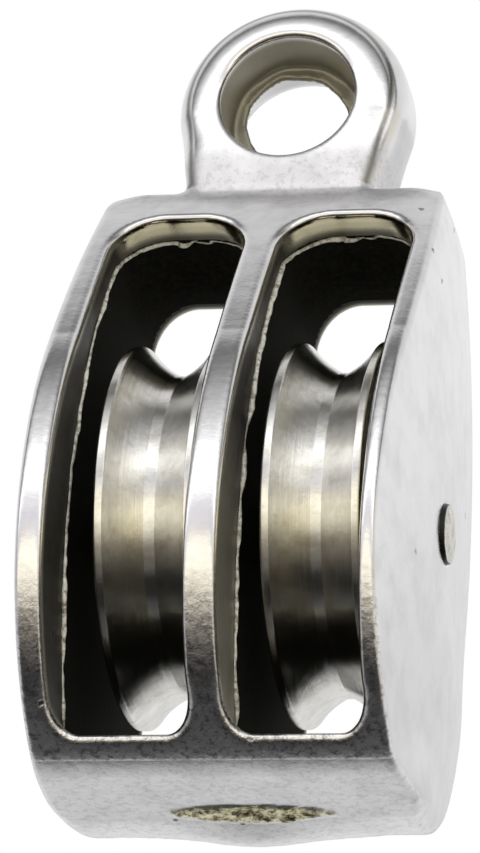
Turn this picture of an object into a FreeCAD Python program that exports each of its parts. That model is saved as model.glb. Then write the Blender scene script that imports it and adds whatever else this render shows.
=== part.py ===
import FreeCAD, Part
import os
import math
import Sketcher

# Double sheave block: a nickel-plated die casting with a fixed eye, two
# free-turning grooved sheaves side by side, and one axle pin through both.
# Millimetres. +Z up towards the eye, X along the axle pin, the rope enters
# and leaves along Y. Heights are drawn from the axle pin, and every piece is
# then placed so that the origin is the centre of the eye's hole.

os.makedirs("parts", exist_ok=True)
doc = FreeCAD.newDocument("double_sheave_block")

DIMENSIONS = [
    # sheaves
    ("sheave_radius", 12.7),
    ("sheave_width", 6.5),
    ("rim_land", 0.55),
    ("groove_depth", 2.0),
    ("groove_floor", 0.7),
    ("flank_radius", 6.5),
    ("rim_chamfer", 0.15),
    ("side_recess_depth", 0.5),
    ("side_recess_outer", 9.6),
    ("hub_radius", 4.2),
    ("sheave_bore_radius", 2.05),
    ("left_sheave_x", -4.69),
    ("right_sheave_x", 6.25),
    # axle pin
    ("pin_radius", 2.0),
    ("pin_proud", 0.32),
    ("pin_edge", 0.3),
    # side profile of the casting
    ("body_top", 24.6),
    ("body_bottom", -19.3),
    ("top_half_depth", 3.4),
    ("widest_height", -4.1),
    ("widest_half_depth", 15.4),
    ("upper_arc_radius", 27.0),
    ("lower_arc_radius", 16.6),
    # cheeks
    ("blank_width", 30.0),
    ("cheek_half_width", 12.74),
    ("left_crown_radius", 190.0),
    ("right_crown_radius", 85.0),
    ("cheek_barrel_radius", 250.0),
    # rope slots, at the parting plane
    ("web_half_width", 1.2),
    ("slot_width", 8.97),
    ("slot_top", 21.3),
    ("slot_top_rear", 20.4),
    ("slot_bottom", -17.6),
    ("slot_upper_corner", 3.4),
    ("slot_upper_corner_rear", 3.4),
    ("slot_lower_corner", 1.7),
    ("slot_draft", 0.4),
    ("slot_reach", 22.0),
    # eye
    ("eye_height", 31.85),
    ("eye_radius", 8.0),
    ("eye_hole_radius", 4.65),
    ("eye_thickness", 7.5),
    ("eye_draft", 1.0),
    ("neck_half_width", 5.95),
    ("neck_root_height", 22.6),
    # edge rounding
    ("cheek_edge_round", 0.55),
    ("shoulder_round", 1.3),
    ("foot_side_round", 0.9),
    ("slot_lip_round", 0.45),
    ("eye_edge_round", 2.6),
    ("eye_hole_round", 0.4),
]

dims = doc.addObject("Spreadsheet::Sheet", "dims")
for row, (alias, value) in enumerate(DIMENSIONS, start=1):
    dims.set("A%d" % row, alias)
    dims.set("B%d" % row, str(value))
    dims.setAlias("B%d" % row, alias)
doc.recompute()
D = dict(DIMENSIONS)


def new_body(label):
    body = doc.addObject("PartDesign::Body", label)
    body.Label = label
    origin = FreeCAD.Vector(0, 0, -D["eye_height"])
    body.Placement = FreeCAD.Placement(origin, FreeCAD.Rotation())
    body.setExpression("Placement.Base.z", "-dims.eye_height")
    doc.recompute()
    return body


def origin_plane(body, role):
    for item in body.Origin.OriginFeatures:
        if item.Role == role:
            return item
    raise ValueError("no origin feature " + role)


def new_sketch(body, name, role):
    sketch = body.newObject("Sketcher::SketchObject", name)
    sketch.AttachmentSupport = [(origin_plane(body, role), "")]
    sketch.MapMode = "FlatFace"
    doc.recompute()
    return sketch


def vec(a, b):
    return FreeCAD.Vector(a, b, 0)


def line(sketch, start, end, construction=False):
    segment = Part.LineSegment(vec(*start), vec(*end))
    return sketch.addGeometry(segment, construction)


def arc(sketch, centre, radius, start_deg, end_deg):
    circle = Part.Circle(vec(*centre), FreeCAD.Vector(0, 0, 1), radius)
    start = math.radians(start_deg)
    end = math.radians(end_deg)
    return sketch.addGeometry(Part.ArcOfCircle(circle, start, end), False)


def dimension(sketch, kind, refs, value, name, expression):
    index = sketch.addConstraint(Sketcher.Constraint(kind, *refs, value))
    sketch.renameConstraint(index, name)
    sketch.setExpression("Constraints." + name, expression)
    return index


def join(sketch, a, a_end, b, b_end):
    sketch.addConstraint(Sketcher.Constraint("Coincident", a, a_end, b, b_end))


def tangent(sketch, a, a_end, b, b_end):
    sketch.addConstraint(Sketcher.Constraint("Tangent", a, a_end, b, b_end))


def check_cut(feature, before, label):
    doc.recompute()
    after = feature.Shape.Volume
    if not after < before - 1e-3:
        raise ValueError(label + " removed nothing")
    return after


def faces_by_edge(shape):
    table = []
    for number, edge in enumerate(shape.Edges, start=1):
        table.append((number, edge, []))
    for face in shape.Faces:
        for edge in face.Edges:
            for number, known, faces in table:
                if known.isSame(edge):
                    faces.append(face)
    return table


def pick_edges(shape, test):
    names = []
    for number, edge, faces in faces_by_edge(shape):
        middle = edge.valueAt((edge.FirstParameter + edge.LastParameter) / 2)
        if test(edge, middle, faces):
            names.append("Edge%d" % number)
    return names


def fillet(body, base, test, radius_alias, name):
    edges = pick_edges(base.Shape, test)
    if not edges:
        raise ValueError("no edges for " + name)
    feature = body.newObject("PartDesign::Fillet", name)
    feature.Base = (base, edges)
    feature.setExpression("Radius", "dims." + radius_alias)
    base.Visibility = False
    doc.recompute()
    return feature


def is_torus(face):
    return face.Surface.TypeId == "Part::GeomToroid"


def is_plane(face):
    return face.Surface.TypeId == "Part::GeomPlane"


# ---------------------------------------------------------------- casting
casting = new_body("body_casting")

# Half of the side profile: flat top, straight upper flank, two arcs, flat foot.
side = new_sketch(casting, "side_profile", "YZ_Plane")
top_z = D["body_top"]
foot_z = D["body_bottom"]
wide_z = D["widest_height"]
wide_y = D["widest_half_depth"]
r_up = D["upper_arc_radius"]
r_low = D["lower_arc_radius"]
flank_deg = 150.0
touch = (
    -wide_y + r_up + r_up * math.cos(math.radians(flank_deg)),
    wide_z + r_up * math.sin(math.radians(flank_deg)),
)
foot_y = -wide_y + r_low - math.sqrt(r_low ** 2 - (wide_z - foot_z) ** 2)
foot_deg = 180 + math.degrees(math.asin((wide_z - foot_z) / r_low))
g_top = line(side, (0, top_z), (-D["top_half_depth"], top_z))
g_flank = line(side, (-D["top_half_depth"], top_z), touch)
g_up = arc(side, (-wide_y + r_up, wide_z), r_up, flank_deg, 180)
g_low = arc(side, (-wide_y + r_low, wide_z), r_low, 180, foot_deg)
g_foot = line(side, (foot_y, foot_z), (0, foot_z))
g_mid = line(side, (0, foot_z), (0, top_z))
join(side, g_top, 2, g_flank, 1)
tangent(side, g_flank, 2, g_up, 1)
join(side, g_up, 2, g_low, 1)
join(side, g_low, 2, g_foot, 1)
join(side, g_foot, 2, g_mid, 1)
join(side, g_mid, 2, g_top, 1)
side.addConstraint(Sketcher.Constraint("Horizontal", g_top))
side.addConstraint(Sketcher.Constraint("Horizontal", g_foot))
side.addConstraint(Sketcher.Constraint("PointOnObject", g_mid, 1, -2))
side.addConstraint(Sketcher.Constraint("PointOnObject", g_mid, 2, -2))
dimension(side, "DistanceY", (-1, 1, g_top, 1), top_z, "top", "dims.body_top")
dimension(side, "DistanceY", (g_foot, 2, -1, 1), -foot_z, "foot", "-dims.body_bottom")
dimension(side, "DistanceX", (g_top, 2, -1, 1), D["top_half_depth"], "top_depth",
          "dims.top_half_depth")
dimension(side, "DistanceY", (g_up, 2, -1, 1), -wide_z, "wide_height", "-dims.widest_height")
dimension(side, "DistanceY", (g_up, 3, -1, 1), -wide_z, "upper_centre", "-dims.widest_height")
dimension(side, "DistanceY", (g_low, 3, -1, 1), -wide_z, "lower_centre", "-dims.widest_height")
dimension(side, "DistanceX", (g_up, 2, -1, 1), wide_y, "wide_depth", "dims.widest_half_depth")
dimension(side, "Radius", (g_up,), r_up, "upper_radius", "dims.upper_arc_radius")
dimension(side, "Radius", (g_low,), r_low, "lower_radius", "dims.lower_arc_radius")
doc.recompute()

blank = casting.newObject("PartDesign::Pad", "front_half")
blank.Profile = side
blank.SideType = "Symmetric"
blank.setExpression("Length", "dims.blank_width")
side.Visibility = False
doc.recompute()

halves = casting.newObject("PartDesign::Mirrored", "rear_half")
halves.Originals = [blank]
halves.MirrorPlane = (origin_plane(casting, "XZ_Plane"), [""])
casting.Tip = halves
doc.recompute()

# Eye and neck, in one with the body.
eye = new_sketch(casting, "eye_outline", "XZ_Plane")
eye_z = D["eye_height"]
eye_r = D["eye_radius"]
neck_x = D["neck_half_width"]
neck_z = D["neck_root_height"]
e_arc = arc(eye, (0, eye_z), eye_r, -8, 188)
e_end = eye_r * math.cos(math.radians(8))
e_low = eye_z - eye_r * math.sin(math.radians(8))
e_left = line(eye, (-e_end, e_low), (-neck_x, neck_z))
e_base = line(eye, (-neck_x, neck_z), (neck_x, neck_z))
e_right = line(eye, (neck_x, neck_z), (e_end, e_low))
tangent(eye, e_arc, 2, e_left, 1)
join(eye, e_left, 2, e_base, 1)
join(eye, e_base, 2, e_right, 1)
tangent(eye, e_right, 2, e_arc, 1)
eye.addConstraint(Sketcher.Constraint("PointOnObject", e_arc, 3, -2))
eye.addConstraint(Sketcher.Constraint("Symmetric", e_base, 1, e_base, 2, -2))
dimension(eye, "Radius", (e_arc,), eye_r, "outer", "dims.eye_radius")
dimension(eye, "DistanceY", (-1, 1, e_arc, 3), eye_z, "centre", "dims.eye_height")
dimension(eye, "DistanceY", (-1, 1, e_base, 1), neck_z, "root", "dims.neck_root_height")
dimension(eye, "DistanceX", (e_base, 1, e_base, 2), 2 * neck_x, "neck",
          "2 * dims.neck_half_width")
doc.recompute()

eye_pad = casting.newObject("PartDesign::Pad", "eye_pad")
eye_pad.Profile = eye
eye_pad.SideType = "Symmetric"
eye_pad.setExpression("Length", "dims.eye_thickness")
eye_pad.setExpression("TaperAngle", "-dims.eye_draft")
eye_pad.setExpression("TaperAngle2", "-dims.eye_draft")
eye.Visibility = False
doc.recompute()


def cheek_groove(name, hand, base):
    # The cheeks are crowned front to back and, more gently, top to bottom.
    cut = new_sketch(casting, name + "_section", "XY_Plane")
    apex = hand * D["cheek_half_width"]
    crown_rule = "dims.right_crown_radius" if hand > 0 else "dims.left_crown_radius"
    crown = D[crown_rule[5:]]
    span = D["slot_reach"]
    rise = crown - math.sqrt(crown ** 2 - span ** 2)
    near = apex - hand * rise
    far = hand * (D["blank_width"] / 2 + 4)
    half = math.degrees(math.asin(span / crown))
    if hand > 0:
        curve = arc(cut, (apex - crown, 0), crown, -half, half)
        low_end, high_end = 1, 2
    else:
        curve = arc(cut, (apex + crown, 0), crown, 180 - half, 180 + half)
        low_end, high_end = 2, 1
    upper = line(cut, (near, span), (far, span))
    outer = line(cut, (far, span), (far, -span))
    lower = line(cut, (far, -span), (near, -span))
    spin = line(cut, (apex - hand * D["cheek_barrel_radius"], -span),
                (apex - hand * D["cheek_barrel_radius"], span), True)
    join(cut, curve, high_end, upper, 1)
    join(cut, upper, 2, outer, 1)
    join(cut, outer, 2, lower, 1)
    join(cut, lower, 2, curve, low_end)
    cut.addConstraint(Sketcher.Constraint("Horizontal", upper))
    cut.addConstraint(Sketcher.Constraint("Horizontal", lower))
    cut.addConstraint(Sketcher.Constraint("Vertical", outer))
    cut.addConstraint(Sketcher.Constraint("PointOnObject", curve, 3, -1))
    cut.addConstraint(Sketcher.Constraint("Symmetric", spin, 1, spin, 2, -1))
    dimension(cut, "Radius", (curve,), crown, "crown", crown_rule)
    dimension(cut, "DistanceY", (-1, 1, upper, 1), span, "reach", "dims.slot_reach")
    dimension(cut, "DistanceY", (lower, 1, -1, 1), span, "reach_low", "dims.slot_reach")
    origin = (-1, 1)
    outward = (origin, (outer, 1)) if hand > 0 else ((outer, 1), origin)
    dimension(cut, "DistanceX", outward[0] + outward[1], abs(far), "outside",
              "dims.blank_width / 2 + 4")
    inward = ((curve, 3), origin) if hand > 0 else (origin, (curve, 3))
    dimension(cut, "DistanceX", inward[0] + inward[1], crown - abs(apex), "crown_centre",
              crown_rule + " - dims.cheek_half_width")
    inward = ((spin, 1), origin) if hand > 0 else (origin, (spin, 1))
    dimension(cut, "DistanceX", inward[0] + inward[1],
              D["cheek_barrel_radius"] - abs(apex), "barrel_axis",
              "dims.cheek_barrel_radius - dims.cheek_half_width")
    dimension(cut, "DistanceY", (spin, 1, spin, 2), 2 * span, "axis_length",
              "2 * dims.slot_reach")
    doc.recompute()
    groove = casting.newObject("PartDesign::Groove", name)
    groove.Profile = cut
    groove.ReferenceAxis = (cut, ["Axis0"])
    groove.Angle = 24.0
    groove.Midplane = True
    cut.Visibility = False
    check_cut(groove, base.Shape.Volume, name)
    return groove


right_cheek = cheek_groove("right_cheek", 1, eye_pad)
left_cheek = cheek_groove("left_cheek", -1, right_cheek)


def rounded_slot(name, hand, end=""):
    # One rope slot, drawn at the parting plane. The rear core is a little shorter.
    sketch = new_sketch(casting, name, "XZ_Plane")
    inner = hand * D["web_half_width"]
    outer = hand * (D["web_half_width"] + D["slot_width"])
    left = min(inner, outer)
    right = max(inner, outer)
    top = D["slot_top" + end]
    bottom = D["slot_bottom"]
    big = D["slot_upper_corner" + end]
    small = D["slot_lower_corner"]
    s_top = line(sketch, (left + big, top), (right - big, top))
    a_tr = arc(sketch, (right - big, top - big), big, 0, 90)
    s_right = line(sketch, (right, top - big), (right, bottom + small))
    a_br = arc(sketch, (right - small, bottom + small), small, 270, 360)
    s_bottom = line(sketch, (right - small, bottom), (left + small, bottom))
    a_bl = arc(sketch, (left + small, bottom + small), small, 180, 270)
    s_left = line(sketch, (left, bottom + small), (left, top - big))
    a_tl = arc(sketch, (left + big, top - big), big, 90, 180)
    tangent(sketch, s_top, 2, a_tr, 2)
    tangent(sketch, a_tr, 1, s_right, 1)
    tangent(sketch, s_right, 2, a_br, 2)
    tangent(sketch, a_br, 1, s_bottom, 1)
    tangent(sketch, s_bottom, 2, a_bl, 2)
    tangent(sketch, a_bl, 1, s_left, 1)
    tangent(sketch, s_left, 2, a_tl, 2)
    tangent(sketch, a_tl, 1, s_top, 1)
    for item in (s_top, s_bottom):
        sketch.addConstraint(Sketcher.Constraint("Horizontal", item))
    for item in (s_left, s_right):
        sketch.addConstraint(Sketcher.Constraint("Vertical", item))
    sketch.addConstraint(Sketcher.Constraint("Equal", a_tl, a_tr))
    sketch.addConstraint(Sketcher.Constraint("Equal", a_bl, a_br))
    dimension(sketch, "Radius", (a_tr,), big, "upper_corner", "dims.slot_upper_corner" + end)
    dimension(sketch, "Radius", (a_br,), small, "lower_corner", "dims.slot_lower_corner")
    dimension(sketch, "DistanceY", (-1, 1, s_top, 1), top, "ceiling", "dims.slot_top" + end)
    dimension(sketch, "DistanceY", (s_bottom, 1, -1, 1), -bottom, "floor",
              "-dims.slot_bottom")
    if hand > 0:
        dimension(sketch, "DistanceX", (-1, 1, s_left, 1), left, "inner",
                  "dims.web_half_width")
        dimension(sketch, "DistanceX", (-1, 1, s_right, 1), right, "outer",
                  "dims.web_half_width + dims.slot_width")
    else:
        dimension(sketch, "DistanceX", (s_right, 1, -1, 1), -right, "inner",
                  "dims.web_half_width")
        dimension(sketch, "DistanceX", (s_left, 1, -1, 1), -left, "outer",
                  "dims.web_half_width + dims.slot_width")
    doc.recompute()
    return sketch


# Each slot is cored from the front and from the back, with draft both ways.
volume = left_cheek.Shape.Volume
for side_name, hand in (("left", -1), ("right", 1)):
    for way, reverse in (("rear", False), ("front", True)):
        end = "_rear" if way == "rear" else ""
        slot = rounded_slot("%s_slot_%s_outline" % (side_name, way), hand, end)
        pocket = casting.newObject("PartDesign::Pocket", "%s_slot_%s" % (side_name, way))
        pocket.Profile = slot
        pocket.Type = "Length"
        pocket.Reversed = reverse
        pocket.setExpression("Length", "dims.slot_reach")
        pocket.setExpression("TaperAngle", "dims.slot_draft")
        slot.Visibility = False
        volume = check_cut(pocket, volume, pocket.Name)


def circle_pocket(name, role, centre, radius_alias, centre_alias, base_volume, depth=None):
    sketch = new_sketch(casting, name + "_circle", role)
    circle = Part.Circle(vec(0, centre), FreeCAD.Vector(0, 0, 1), D[radius_alias])
    ring = sketch.addGeometry(circle, False)
    dimension(sketch, "Radius", (ring,), D[radius_alias], "radius", "dims." + radius_alias)
    if centre_alias:
        sketch.addConstraint(Sketcher.Constraint("PointOnObject", ring, 3, -2))
        dimension(sketch, "DistanceY", (-1, 1, ring, 3), centre, "height",
                  "dims." + centre_alias)
    else:
        join(sketch, ring, 3, -1, 1)
    doc.recompute()
    hole = casting.newObject("PartDesign::Pocket", name)
    hole.Profile = sketch
    hole.Type = "Length"
    hole.SideType = "Symmetric"
    hole.Length = 60.0
    sketch.Visibility = False
    check_cut(hole, base_volume, name)
    return hole


eye_hole = circle_pocket("eye_hole", "XZ_Plane", eye_z, "eye_hole_radius",
                         "eye_height", volume)
pin_hole = circle_pocket("pin_hole", "YZ_Plane", 0, "pin_radius", None,
                         eye_hole.Shape.Volume)

base = pin_hole


def near(value, target, tolerance=0.02):
    return abs(value - target) < tolerance


def shoulder(edge, middle, faces):
    return (near(middle.z, D["body_top"]) and abs(middle.x) > 10
            and edge.BoundBox.YLength > 4)


def foot_side(edge, middle, faces):
    return near(middle.z, D["body_bottom"]) and abs(middle.x) > 10.5


def slot_lip(edge, middle, faces):
    inside = 0.8 < abs(middle.x) < 11.0 and -18.6 < middle.z < 22.6
    outer = [face for face in faces
             if face.Surface.TypeId in ("Part::GeomCylinder", "Part::GeomPlane")
             and abs(face.normalAt(0, 0).x) < 1e-6 and face.BoundBox.XLength > 20]
    return inside and len(outer) == 1 and edge.BoundBox.YLength < 31


def cheek_edge(edge, middle, faces):
    cheeks = [face for face in faces if is_torus(face) and face.Area > 200]
    return len(cheeks) == 1 and abs(middle.x) > 10.5 and abs(middle.y) > 1.5 and not (
        math.hypot(middle.y, middle.z) < 4)


def eye_rim(edge, middle, faces):
    return (near(abs(middle.y), D["eye_thickness"] / 2) and middle.z > D["body_top"] + 0.1
            and math.hypot(middle.x, middle.z - D["eye_height"]) > D["eye_hole_radius"] + 0.5)


def eye_hole_edge(edge, middle, faces):
    return (near(abs(middle.y), D["eye_thickness"] / 2)
            and near(math.hypot(middle.x, middle.z - D["eye_height"]), D["eye_hole_radius"]))


ROUNDS = [
    ("shoulders", shoulder, "shoulder_round"),
    ("foot_sides", foot_side, "foot_side_round"),
    ("cheek_edges", cheek_edge, "cheek_edge_round"),
    ("eye_rims", eye_rim, "eye_edge_round"),
    ("eye_hole_edges", eye_hole_edge, "eye_hole_round"),
    ("slot_lips", slot_lip, "slot_lip_round"),
]
for name, test, alias in ROUNDS:
    base = fillet(casting, base, test, alias, name)
casting.Tip = base
doc.recompute()


# ------------------------------------------------------------- axle pin
def hollow_arc(start, end, radius):
    """The arc from start to end that dips towards the axis."""
    chord = (end[0] - start[0], end[1] - start[1])
    length = math.hypot(*chord)
    dip = radius - math.sqrt(radius ** 2 - length ** 2 / 4)
    across = (chord[1] / length, -chord[0] / length)
    if across[1] > 0:
        across = (-across[0], -across[1])
    middle = ((start[0] + end[0]) / 2 + dip * across[0],
              (start[1] + end[1]) / 2 + dip * across[1])
    return Part.Arc(vec(*start), vec(*middle), vec(*end))


def revolved_body(label, points, hollows=()):
    """A solid of revolution about the X axis from (x, radius) corners."""
    body = new_body(label)
    sketch = new_sketch(body, label + "_section", "XY_Plane")
    count = len(points)
    turned_round = []
    for index, (here_x, here_r, x_rule, r_rule) in enumerate(points):
        there = points[(index + 1) % count]
        if index in hollows:
            curve = hollow_arc((here_x, here_r), (there[0], there[1]), D["flank_radius"])
            sketch.addGeometry(curve, False)
            first = sketch.getPoint(index, 1)
            if abs(first.x - here_x) + abs(first.y - here_r) > 1e-6:
                turned_round.append(index)
        else:
            line(sketch, (here_x, here_r), (there[0], there[1]))

    def head(index):
        return 2 if index in turned_round else 1

    for index in range(count):
        follower = (index + 1) % count
        join(sketch, index, 3 - head(index), follower, head(follower))
    for index, (here_x, here_r, x_rule, r_rule) in enumerate(points):
        place(sketch, index, head(index), here_x, x_rule, here_r, r_rule)
    for index in hollows:
        dimension(sketch, "Radius", (index,), D["flank_radius"], "flank%d" % index,
                  "dims.flank_radius")
    doc.recompute()
    turned = body.newObject("PartDesign::Revolution", label + "_turned")
    turned.Profile = sketch
    turned.ReferenceAxis = (sketch, ["H_Axis"])
    turned.Angle = 360.0
    sketch.Visibility = False
    body.Tip = turned
    doc.recompute()
    return body


def place(sketch, index, end, x, x_rule, radius, r_rule):
    if abs(x) < 1e-9:
        sketch.addConstraint(Sketcher.Constraint("PointOnObject", index, end, -2))
    elif x > 0:
        dimension(sketch, "DistanceX", (-1, 1, index, end), x, "x%d" % index, x_rule)
    else:
        dimension(sketch, "DistanceX", (index, end, -1, 1), -x, "x%d" % index, x_rule)
    if radius < 1e-9:
        sketch.addConstraint(Sketcher.Constraint("PointOnObject", index, end, -1))
    else:
        dimension(sketch, "DistanceY", (-1, 1, index, end), radius, "y%d" % index, r_rule)


reach = D["cheek_half_width"] + D["pin_proud"]
edge = D["pin_edge"]
pin_r = D["pin_radius"]
reach_rule = "dims.cheek_half_width + dims.pin_proud"
inner_rule = reach_rule + " - dims.pin_edge"
tip_rule = "dims.pin_radius - dims.pin_edge"
pin = revolved_body("axle_pin", [
    (-reach, 0, reach_rule, ""),
    (-reach, pin_r - edge, reach_rule, tip_rule),
    (-reach + edge, pin_r, inner_rule, "dims.pin_radius"),
    (reach - edge, pin_r, inner_rule, "dims.pin_radius"),
    (reach, pin_r - edge, reach_rule, tip_rule),
    (reach, 0, reach_rule, ""),
])

# -------------------------------------------------------------- sheaves
# Section corners run from the bore out to the rim, down the groove and back,
# the same on both hands: rim land, groove flank, groove floor, side recess.
half = D["sheave_width"] / 2
rim_r = D["sheave_radius"]
land = D["rim_land"]
bevel = D["rim_chamfer"]
floor_r = rim_r - D["groove_depth"]
floor_x = D["groove_floor"] / 2
bore_r = D["sheave_bore_radius"]
recess_x = half - D["side_recess_depth"]
recess_r = D["side_recess_outer"]
hub_r = D["hub_radius"]
W2 = "dims.sheave_width / 2"
HAND = [
    (half, bore_r, W2, "dims.sheave_bore_radius"),
    (half, hub_r, W2, "dims.hub_radius"),
    (recess_x, hub_r + 0.5, W2 + " - dims.side_recess_depth", "dims.hub_radius + 0.5"),
    (recess_x, recess_r - 0.5, W2 + " - dims.side_recess_depth",
     "dims.side_recess_outer - 0.5"),
    (half, recess_r, W2, "dims.side_recess_outer"),
    (half, rim_r - bevel, W2, "dims.sheave_radius - dims.rim_chamfer"),
    (half - bevel, rim_r, W2 + " - dims.rim_chamfer", "dims.sheave_radius"),
    (half - land, rim_r, W2 + " - dims.rim_land", "dims.sheave_radius"),
    (floor_x, floor_r, "dims.groove_floor / 2", "dims.sheave_radius - dims.groove_depth"),
]
SECTION = HAND + [(-x, r, xr, rr) for x, r, xr, rr in reversed(HAND)]
FLANKS = (len(HAND) - 2, len(HAND))

sheaves = []
for label, alias in (("left_sheave", "left_sheave_x"), ("right_sheave", "right_sheave_x")):
    sheave = revolved_body(label, SECTION, FLANKS)
    sheave.setExpression("Placement.Base.x", "dims." + alias)
    sheaves.append(sheave)
doc.recompute()

# --------------------------------------------------------------- output
for item in doc.Objects:
    if "Invalid" in item.State or "Error" in item.State:
        raise ValueError(item.Label + " did not compute")
for node in [casting, pin] + sheaves:
    shape = node.Shape
    if shape.isNull() or not shape.isValid() or len(shape.Solids) != 1:
        raise ValueError(node.Label + " is not one valid solid")
    shape.exportStep("parts/%s.step" % node.Label)
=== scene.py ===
import math

import bpy
import numpy as np
from mathutils import Matrix, Vector


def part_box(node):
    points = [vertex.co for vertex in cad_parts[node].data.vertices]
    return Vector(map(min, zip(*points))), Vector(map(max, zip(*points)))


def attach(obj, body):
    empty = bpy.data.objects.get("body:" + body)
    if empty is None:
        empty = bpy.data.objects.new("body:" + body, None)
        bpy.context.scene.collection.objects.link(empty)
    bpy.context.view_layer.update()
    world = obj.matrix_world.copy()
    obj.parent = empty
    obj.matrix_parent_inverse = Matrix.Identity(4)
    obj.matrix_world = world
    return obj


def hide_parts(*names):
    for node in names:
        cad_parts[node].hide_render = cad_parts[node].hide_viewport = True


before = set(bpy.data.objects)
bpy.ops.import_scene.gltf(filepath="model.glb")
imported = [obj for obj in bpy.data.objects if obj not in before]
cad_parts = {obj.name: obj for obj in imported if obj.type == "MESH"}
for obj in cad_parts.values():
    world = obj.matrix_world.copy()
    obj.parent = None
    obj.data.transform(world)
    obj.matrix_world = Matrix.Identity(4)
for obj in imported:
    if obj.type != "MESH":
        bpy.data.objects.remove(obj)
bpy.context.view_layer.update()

# A double sheave block: one die casting with a fixed eye, two turned sheaves side
# by side in its slots, and the plain pin they run on.
#
# Lengths below are millimetres with heights from the axle pin; the frame's
# origin is the centre of the eye's hole, EYE_Z above the pin.
MM = 0.001
PIN_LO, PIN_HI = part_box("axle_pin")
CAST_LO, CAST_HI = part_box("body_casting")
EYE_Z = -(PIN_LO.z + PIN_HI.z) / 2 / MM

# The casting's outside. Seen from the side: a straight flank, a long arc down to
# the widest point, then a tighter arc to the flat foot.
BODY_HALF_X = 12.74
BODY_TOP, BODY_FOOT = 24.6, CAST_LO.z / MM + EYE_Z
WIDE_Y, WIDE_Z = CAST_HI.y / MM, -4.1
R_UP, R_LOW = 27.0, 16.6
TOP_Y = 3.4
LEFT_CROWN_R, RIGHT_CROWN_R, BARREL_R = 190.0, 85.0, 250.0
FLANK_BULGE = 0.9
FOOT_SWELL, FOOT_SWELL_Y, REAR_FOOT_SWELL = 0.30, 5.5, 0.33
EDGE_R, LEFT_LOW_EDGE, RIGHT_LOW_EDGE = 0.5, 0.9, 0.3
TOP_EDGE_R, TOP_END_R = 0.55, 1.35
FOOT_EDGE_R, FOOT_REAR_R, FOOT_CORNER_R = 0.55, 0.6, 0.7

# The two rope slots. The front and rear cores' ceilings meet in a slope between
# the two CEILING_STEP depths. At the foot LOW_LIP_R is added to the lip.
SLOT_X, SLOT_HALF = 5.685, 4.485
SLOT_TOP, SLOT_TOP_REAR, SLOT_BOTTOM = 21.3, 20.4, -17.6
SLOT_R_TOP, SLOT_R_LOW, SLOT_DRAFT = 3.4, 1.7, 0.007
CEILING_STEP_FRONT, CEILING_STEP_REAR = -1.8, 3.5
LIP_R, LOW_LIP_R = 0.5, 0.60

# The eye, its neck, the fill where the neck meets the body, and the ragged web of
# flash inside the hole. The neck's edges are cut down from the eye's.
EYE_R, HOLE_R, EYE_HALF_Y, EYE_DRAFT = 7.93, 4.65, 3.75, 0.0175
EYE_SHIFT, EYE_PARTING_SOFT, EYE_RING_END = 0.10, 0.35, math.radians(8)
EYE_EDGE_R, NECK_EDGE_CUT = 2.6, 1.2
NECK_X, NECK_Z = 5.95, 22.6
NECK_FILL, FACE_FILL_CUT, LEFT_FILL = 0.55, 0.15, 0.6
HOLE_WAIST, HOLE_WAIST_Y = 0.09, 3.5
HOLE_EDGE_R, HOLE_REAR_EDGE = 0.4, 0.8
WEB_R, WEB_Y, WEB_HALF, WEB_OUTER_R, WEB_FILL = 3.52, 0.45, 0.2, 5.2, 0.35

# The pin's bore is made a little tight, so that no gap shows round the pin.
PIN_R = (PIN_HI.z - PIN_LO.z) / 2 / MM
BORE_TIGHT = 0.12
BORE_R = PIN_R - BORE_TIGHT

# Flash line: how far forward it runs on a slot wall at mid height, how much
# nearer the middle plane at the ends, and where it crosses the ceiling.
FLASH_FRONT, FLASH_BEND, FLASH_MID_Z, FLASH_HALF_Z = -10.1, 5.0, 0.5, 17.0
FLASH_CEILING_Y = -2.3

# Finish: how near the slot surface counts as wall, and how deep the core's
# near-black painted shade on dull unplated metal starts.
WALL_BAND, CORE_SHADE_DEPTH = 0.12, 1.0

# Height of the skin's fine unevenness, of the coarse one added where the cast is
# rough, what the slot walls keep of both, and the depth of the crease on the eye.
SKIN, ROUGH_SKIN, WALL_SHARE, CREASE_DEPTH = 0.010, 0.028, 0.15, 0.05

# Fineness: the casting's grid cell and the room round it, and steps per turn.
CELL, QUICK_CELL, MARGIN = 0.20, 0.30, 0.8
SHEAVE_TURNS, PIN_TURNS = 320, 96

# Straight flank: tangent from the top corner to the upper arc.
arc_y = WIDE_Y - R_UP
to_top = (TOP_Y - arc_y, BODY_TOP - WIDE_Z)
span = math.hypot(*to_top)
FLANK_A = math.atan2(to_top[1], to_top[0]) - math.acos(R_UP / span)
FN_Y, FN_Z = math.cos(FLANK_A), math.sin(FLANK_A)
FLANK_P = (arc_y + R_UP * FN_Y, WIDE_Z + R_UP * FN_Z)


# ------------------------------------------------------------ small maths
def smooth(lo, hi, v):
    """0 at lo, 1 at hi and eased between; lo may be the larger."""
    t = np.clip((v - lo) / (hi - lo), 0.0, 1.0)
    return t * t * (3.0 - 2.0 * t)


def round_and(a, b, r):
    """Both a and b, with the edge between them rounded to radius r."""
    u = np.maximum(a + r, 0.0)
    v = np.maximum(b + r, 0.0)
    return np.minimum(np.maximum(a, b), -r) + np.hypot(u, v)


def soft_or(a, b, k):
    """Either a or b, with the corner between them filled over a width k."""
    h = np.maximum(k - np.abs(a - b), 0.0) / k
    return np.minimum(a, b) - h * h * k * 0.25


def lattice(ix, iy, iz, seed):
    """A fixed value from -1 to 1 for each whole-numbered point."""
    n = (ix * 73856093) ^ (iy * 19349663) ^ (iz * 83492791) ^ (seed * 40503 + 977)
    n &= 0xFFFFFFFF
    n = ((n ^ (n >> 15)) * 2246822519) & 0xFFFFFFFF
    n = ((n ^ (n >> 13)) * 3266489917) & 0xFFFFFFFF
    return ((n ^ (n >> 16)) & 0xFFFF) / 32767.5 - 1.0


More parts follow.
